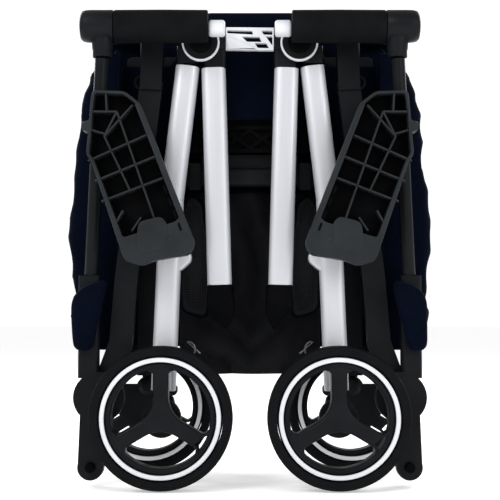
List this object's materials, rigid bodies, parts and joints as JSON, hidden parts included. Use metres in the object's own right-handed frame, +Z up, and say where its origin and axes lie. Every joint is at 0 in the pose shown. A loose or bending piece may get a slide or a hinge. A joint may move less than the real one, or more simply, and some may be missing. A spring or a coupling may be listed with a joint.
{
  "type": "baby stroller",
  "caption": "Compact travel stroller shown folded on its wheels, with fold-out legs, push bars, foot plates, seat back and hood.",
  "frame": {"origin": "centre of the footprint on the floor", "axes": "+X to the stroller's right as seen from the grip side, -Y towards the grips, +Z up"},
  "size_m": [0.352, 0.198, 0.446],
  "materials": {
    "black_plastic": "fine moulded grain, satin",
    "grip_foam": "matt closed-cell foam",
    "tyre": "matt moulded tyre",
    "satin_silver": "satin anodised",
    "white_plastic": "satin",
    "navy_fabric": "fine plain weave",
    "basket_cloth": "black mesh cloth"
  },
  "bodies": {
    "seat_frame": {"seat_deck": "black_plastic", "seat_pad": "navy_fabric", "hub_bridge": "white_plastic", "inner_collar_left": "black_plastic", "inner_collar_right": "black_plastic", "inner_tube_left": "satin_silver", "inner_tube_right": "satin_silver", "inner_elbow_left": "black_plastic", "inner_elbow_right": "black_plastic", "cross_beam": "black_plastic", "cross_bar": "black_plastic", "basket": "basket_cloth"},
    "push_link_left": {"push_link_left": "black_plastic"},
    "push_bar_left": {"push_knee_left": "black_plastic", "push_tube_left": "satin_silver", "grip_elbow_left": "black_plastic", "grip_left": "grip_foam", "grip_end_left": "white_plastic", "side_pad_left": "navy_fabric"},
    "release_left": {"release_button_left": "black_plastic"},
    "front_leg_left": {"leg_tube_left": "satin_silver", "hub_disc_left": "black_plastic", "hub_ring_left": "satin_silver"},
    "front_foot_left": {"leg_foot_left": "black_plastic"},
    "front_wheel_left": {"front_tyre_left": "tyre", "front_rim_left": "black_plastic", "front_ring_left": "satin_silver"},
    "foot_plate_left": {"foot_plate_left": "black_plastic"},
    "rear_leg_left": {"rear_leg_left": "black_plastic"},
    "rear_foot_left": {"rear_foot_left": "black_plastic"},
    "rear_wheel_left": {"rear_tyre_left": "tyre", "rear_rim_left": "black_plastic", "rear_ring_left": "satin_silver"},
    "brake_left": {"brake_pedal_left": "black_plastic"},
    "push_link_right": {"push_link_right": "black_plastic"},
    "push_bar_right": {"push_knee_right": "black_plastic", "push_tube_right": "satin_silver", "grip_elbow_right": "black_plastic", "grip_right": "grip_foam", "grip_end_right": "white_plastic", "side_pad_right": "navy_fabric"},
    "release_right": {"release_button_right": "black_plastic"},
    "front_leg_right": {"leg_tube_right": "satin_silver", "hub_disc_right": "black_plastic", "hub_ring_right": "satin_silver"},
    "front_foot_right": {"leg_foot_right": "black_plastic"},
    "front_wheel_right": {"front_tyre_right": "tyre", "front_rim_right": "black_plastic", "front_ring_right": "satin_silver"},
    "foot_plate_right": {"foot_plate_right": "black_plastic"},
    "rear_leg_right": {"rear_leg_right": "black_plastic"},
    "rear_foot_right": {"rear_foot_right": "black_plastic"},
    "rear_wheel_right": {"rear_tyre_right": "tyre", "rear_rim_right": "black_plastic", "rear_ring_right": "satin_silver"},
    "brake_right": {"brake_pedal_right": "black_plastic"},
    "lower_back": {"lower_back": "navy_fabric"},
    "upper_back": {"upper_back": "navy_fabric", "hood": "navy_fabric"},
    "hood_bow": {"hood_bow": "black_plastic"}
  },
  "joints": [
    {"name": "frame_unfold", "type": "hinge", "parent": "seat_frame", "child": "push_link_left", "pos_m": [-0.0905, -0.043, 0.393], "axis": [-0.0759, 0.9561, -0.2832], "range_deg": [0, 151.26]},
    {"name": "push_knee_fold_left", "type": "hinge", "parent": "push_link_left", "child": "push_bar_left", "pos_m": [-0.137, -0.043, 0.0795], "axis": [0, 1, 0], "range_deg": [-150, 0]},
    {"name": "release_press_left", "type": "slide", "parent": "push_bar_left", "child": "release_left", "axis": [0, 1, 0], "range_m": [0, 0.002], "stiffness_N_per_m": 300},
    {"name": "front_leg_fold_left", "type": "hinge", "parent": "seat_frame", "child": "front_leg_left", "pos_m": [-0.0455, -0.046, 0.405], "axis": [0.8829, -0.4695, 0], "range_deg": [-32, 0]},
    {"name": "front_wheel_turn_left", "type": "hinge", "parent": "front_leg_left", "child": "front_foot_left", "pos_m": [-0.0795, -0.046, 0.0735], "axis": [0.3594, 0.1099, -0.9267], "range_deg": [0, 94.36]},
    {"name": "front_wheel_spin_left", "type": "hinge", "parent": "front_foot_left", "child": "front_wheel_left", "pos_m": [-0.0785, -0.086, 0.0635], "axis": [0, 1, 0], "continuous": true},
    {"name": "foot_plate_turn_left", "type": "hinge", "parent": "front_leg_left", "child": "foot_plate_left", "pos_m": [-0.062, -0.08, 0.3], "axis": [0, 0, -1], "range_deg": [-138, 0]},
    {"name": "rear_leg_fold_left", "type": "hinge", "parent": "seat_frame", "child": "rear_leg_left", "pos_m": [-0.1, 0.025, 0.374], "axis": [0.8829, 0.4695, 0], "range_deg": [0, 37]},
    {"name": "rear_wheel_turn_left", "type": "hinge", "parent": "rear_leg_left", "child": "rear_foot_left", "pos_m": [-0.1008, 0.025, 0.084], "axis": [-0.409, 0.1251, 0.9039], "range_deg": [0, 95.78]},
    {"name": "rear_wheel_spin_left", "type": "hinge", "parent": "rear_foot_left", "child": "rear_wheel_left", "pos_m": [-0.1008, 0.054, 0.0635], "axis": [0, 1, 0], "continuous": true},
    {"name": "push_link_fold_right", "type": "hinge", "parent": "seat_frame", "child": "push_link_right", "pos_m": [0.0905, -0.043, 0.393], "axis": [-0.0759, -0.9561, 0.2832], "range_deg": [0, 151.26]},
    {"name": "push_knee_fold_right", "type": "hinge", "parent": "push_link_right", "child": "push_bar_right", "pos_m": [0.137, -0.043, 0.0795], "axis": [0, -1, 0], "range_deg": [-150, 0]},
    {"name": "release_press_right", "type": "slide", "parent": "push_bar_right", "child": "release_right", "axis": [0, 1, 0], "range_m": [0, 0.002], "stiffness_N_per_m": 300},
    {"name": "front_leg_fold_right", "type": "hinge", "parent": "seat_frame", "child": "front_leg_right", "pos_m": [0.0455, -0.046, 0.405], "axis": [0.8829, 0.4695, 0], "range_deg": [-32, 0]},
    {"name": "front_wheel_turn_right", "type": "hinge", "parent": "front_leg_right", "child": "front_foot_right", "pos_m": [0.0795, -0.046, 0.0735], "axis": [0.3594, -0.1099, 0.9267], "range_deg": [0, 94.36]},
    {"name": "front_wheel_spin_right", "type": "hinge", "parent": "front_foot_right", "child": "front_wheel_right", "pos_m": [0.0785, -0.086, 0.0635], "axis": [0, 1, 0], "continuous": true},
    {"name": "foot_plate_turn_right", "type": "hinge", "parent": "front_leg_right", "child": "foot_plate_right", "pos_m": [0.062, -0.08, 0.3], "axis": [0, 0, 1], "range_deg": [-138, 0]},
    {"name": "rear_leg_fold_right", "type": "hinge", "parent": "seat_frame", "child": "rear_leg_right", "pos_m": [0.1, 0.025, 0.374], "axis": [0.8829, -0.4695, 0], "range_deg": [0, 37]},
    {"name": "rear_wheel_turn_right", "type": "hinge", "parent": "rear_leg_right", "child": "rear_foot_right", "pos_m": [0.1008, 0.025, 0.084], "axis": [-0.409, -0.1251, -0.9039], "range_deg": [0, 95.78]},
    {"name": "rear_wheel_spin_right", "type": "hinge", "parent": "rear_foot_right", "child": "rear_wheel_right", "pos_m": [0.1008, 0.054, 0.0635], "axis": [0, 1, 0], "continuous": true},
    {"name": "brake_press", "type": "hinge", "parent": "rear_leg_left", "child": "brake_left", "pos_m": [-0.0795, 0.033, 0.081], "axis": [1, 0, 0], "range_deg": [-18, 0]},
    {"name": "brake_press_right", "type": "hinge", "parent": "rear_leg_right", "child": "brake_right", "pos_m": [0.0795, 0.033, 0.081], "axis": [1, 0, 0], "range_deg": [-18, 0]},
    {"name": "lower_back_raise", "type": "hinge", "parent": "seat_frame", "child": "lower_back", "pos_m": [0, 0.076, 0.402], "axis": [1, 0, 0], "range_deg": [0, 168]},
    {"name": "upper_back_raise", "type": "hinge", "parent": "lower_back", "child": "upper_back", "pos_m": [0, 0.0795, 0.131], "axis": [1, 0, 0], "range_deg": [-175, 0]},
    {"name": "canopy_open", "type": "hinge", "parent": "upper_back", "child": "hood_bow", "pos_m": [0, 0.01, 0.25], "axis": [1, 0, 0], "range_deg": [0, 31]}
  ],
  "couplings": [
    {"joint": "push_knee_fold_left", "follows": "frame_unfold", "ratio": -0.99165},
    {"joint": "front_leg_fold_left", "follows": "frame_unfold", "ratio": -0.21155},
    {"joint": "front_wheel_turn_left", "follows": "frame_unfold", "ratio": 0.6238},
    {"joint": "foot_plate_turn_left", "follows": "frame_unfold", "ratio": -0.91232},
    {"joint": "rear_leg_fold_left", "follows": "frame_unfold", "ratio": 0.24461},
    {"joint": "rear_wheel_turn_left", "follows": "frame_unfold", "ratio": 0.63319},
    {"joint": "push_link_fold_right", "follows": "frame_unfold", "ratio": 1},
    {"joint": "push_knee_fold_right", "follows": "frame_unfold", "ratio": -0.99165},
    {"joint": "front_leg_fold_right", "follows": "frame_unfold", "ratio": -0.21155},
    {"joint": "front_wheel_turn_right", "follows": "frame_unfold", "ratio": 0.6238},
    {"joint": "foot_plate_turn_right", "follows": "frame_unfold", "ratio": -0.91232},
    {"joint": "rear_leg_fold_right", "follows": "frame_unfold", "ratio": 0.24461},
    {"joint": "rear_wheel_turn_right", "follows": "frame_unfold", "ratio": 0.63319},
    {"joint": "brake_press_right", "follows": "brake_press", "ratio": 1},
    {"joint": "lower_back_raise", "follows": "frame_unfold", "ratio": 1.1106},
    {"joint": "upper_back_raise", "follows": "frame_unfold", "ratio": -1.1569}
  ]
}
